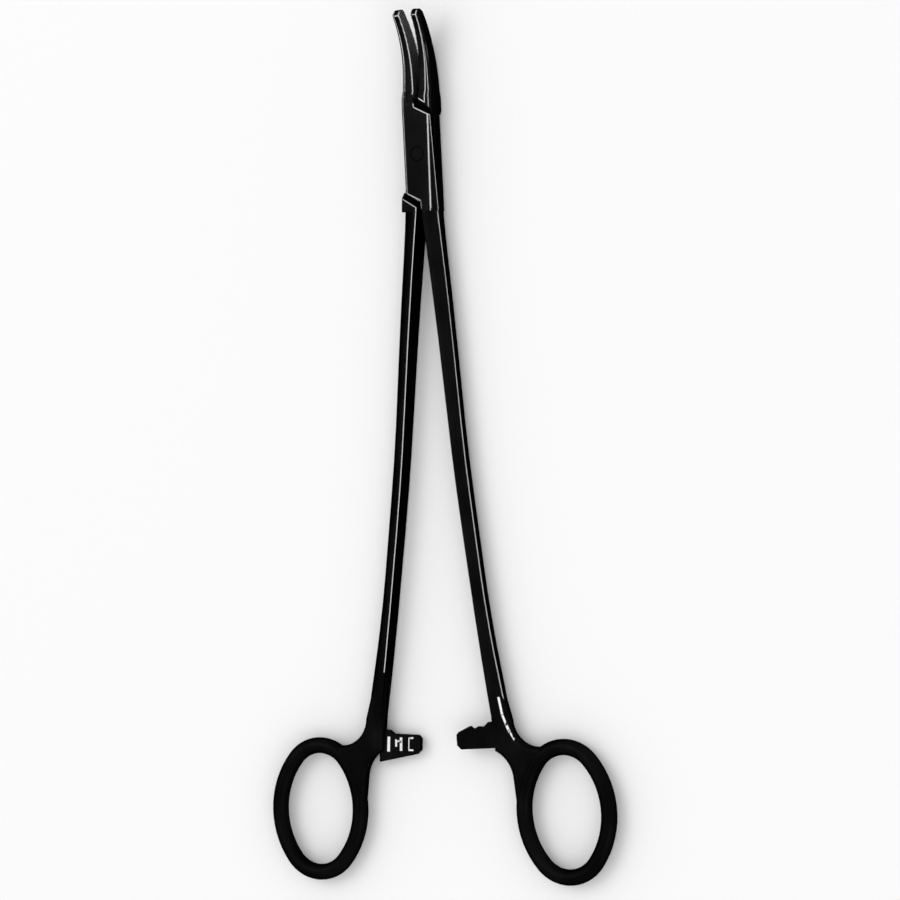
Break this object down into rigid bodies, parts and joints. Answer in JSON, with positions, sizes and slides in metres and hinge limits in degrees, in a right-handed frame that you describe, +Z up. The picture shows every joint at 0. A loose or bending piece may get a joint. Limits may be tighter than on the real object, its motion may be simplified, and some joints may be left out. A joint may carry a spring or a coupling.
{
  "type": "needle holder",
  "caption": "Ring-handled needle holder with box lock, finger ratchet and tapered jaws curved upward, with cross-hatched bite pads.",
  "frame": {"origin": "on the pivot axis, at the back face of the box lock, where the instrument lies on a table", "axes": "+Y from the pivot to the jaw tips, along the middle line between the halves; +Z up from the back, the side to which the jaws curve; +X to the side of the ring of the box half"},
  "size_m": [0.092, 0.2099, 0.0108],
  "materials": {
    "box_half": "polished black with bright edges",
    "tenon_half": "polished black with bright edges",
    "pivot_rivet": "polished black, flush",
    "box_jaw_insert": "dark diamonds with bright grooves",
    "tenon_jaw_insert": "dark diamonds with bright grooves"
  },
  "bodies": {
    "box_side": {"box_half": "box_half", "pivot_rivet": "pivot_rivet", "box_jaw_insert": "box_jaw_insert"},
    "tenon_side": {"tenon_half": "tenon_half", "tenon_jaw_insert": "tenon_jaw_insert"}
  },
  "joints": [
    {"name": "box_lock_pivot", "type": "hinge", "parent": "box_side", "child": "tenon_side", "pos_m": [0, 0, 0.0032], "axis": [0, 0, 1], "range_deg": [-34, 5.2]}
  ]
}
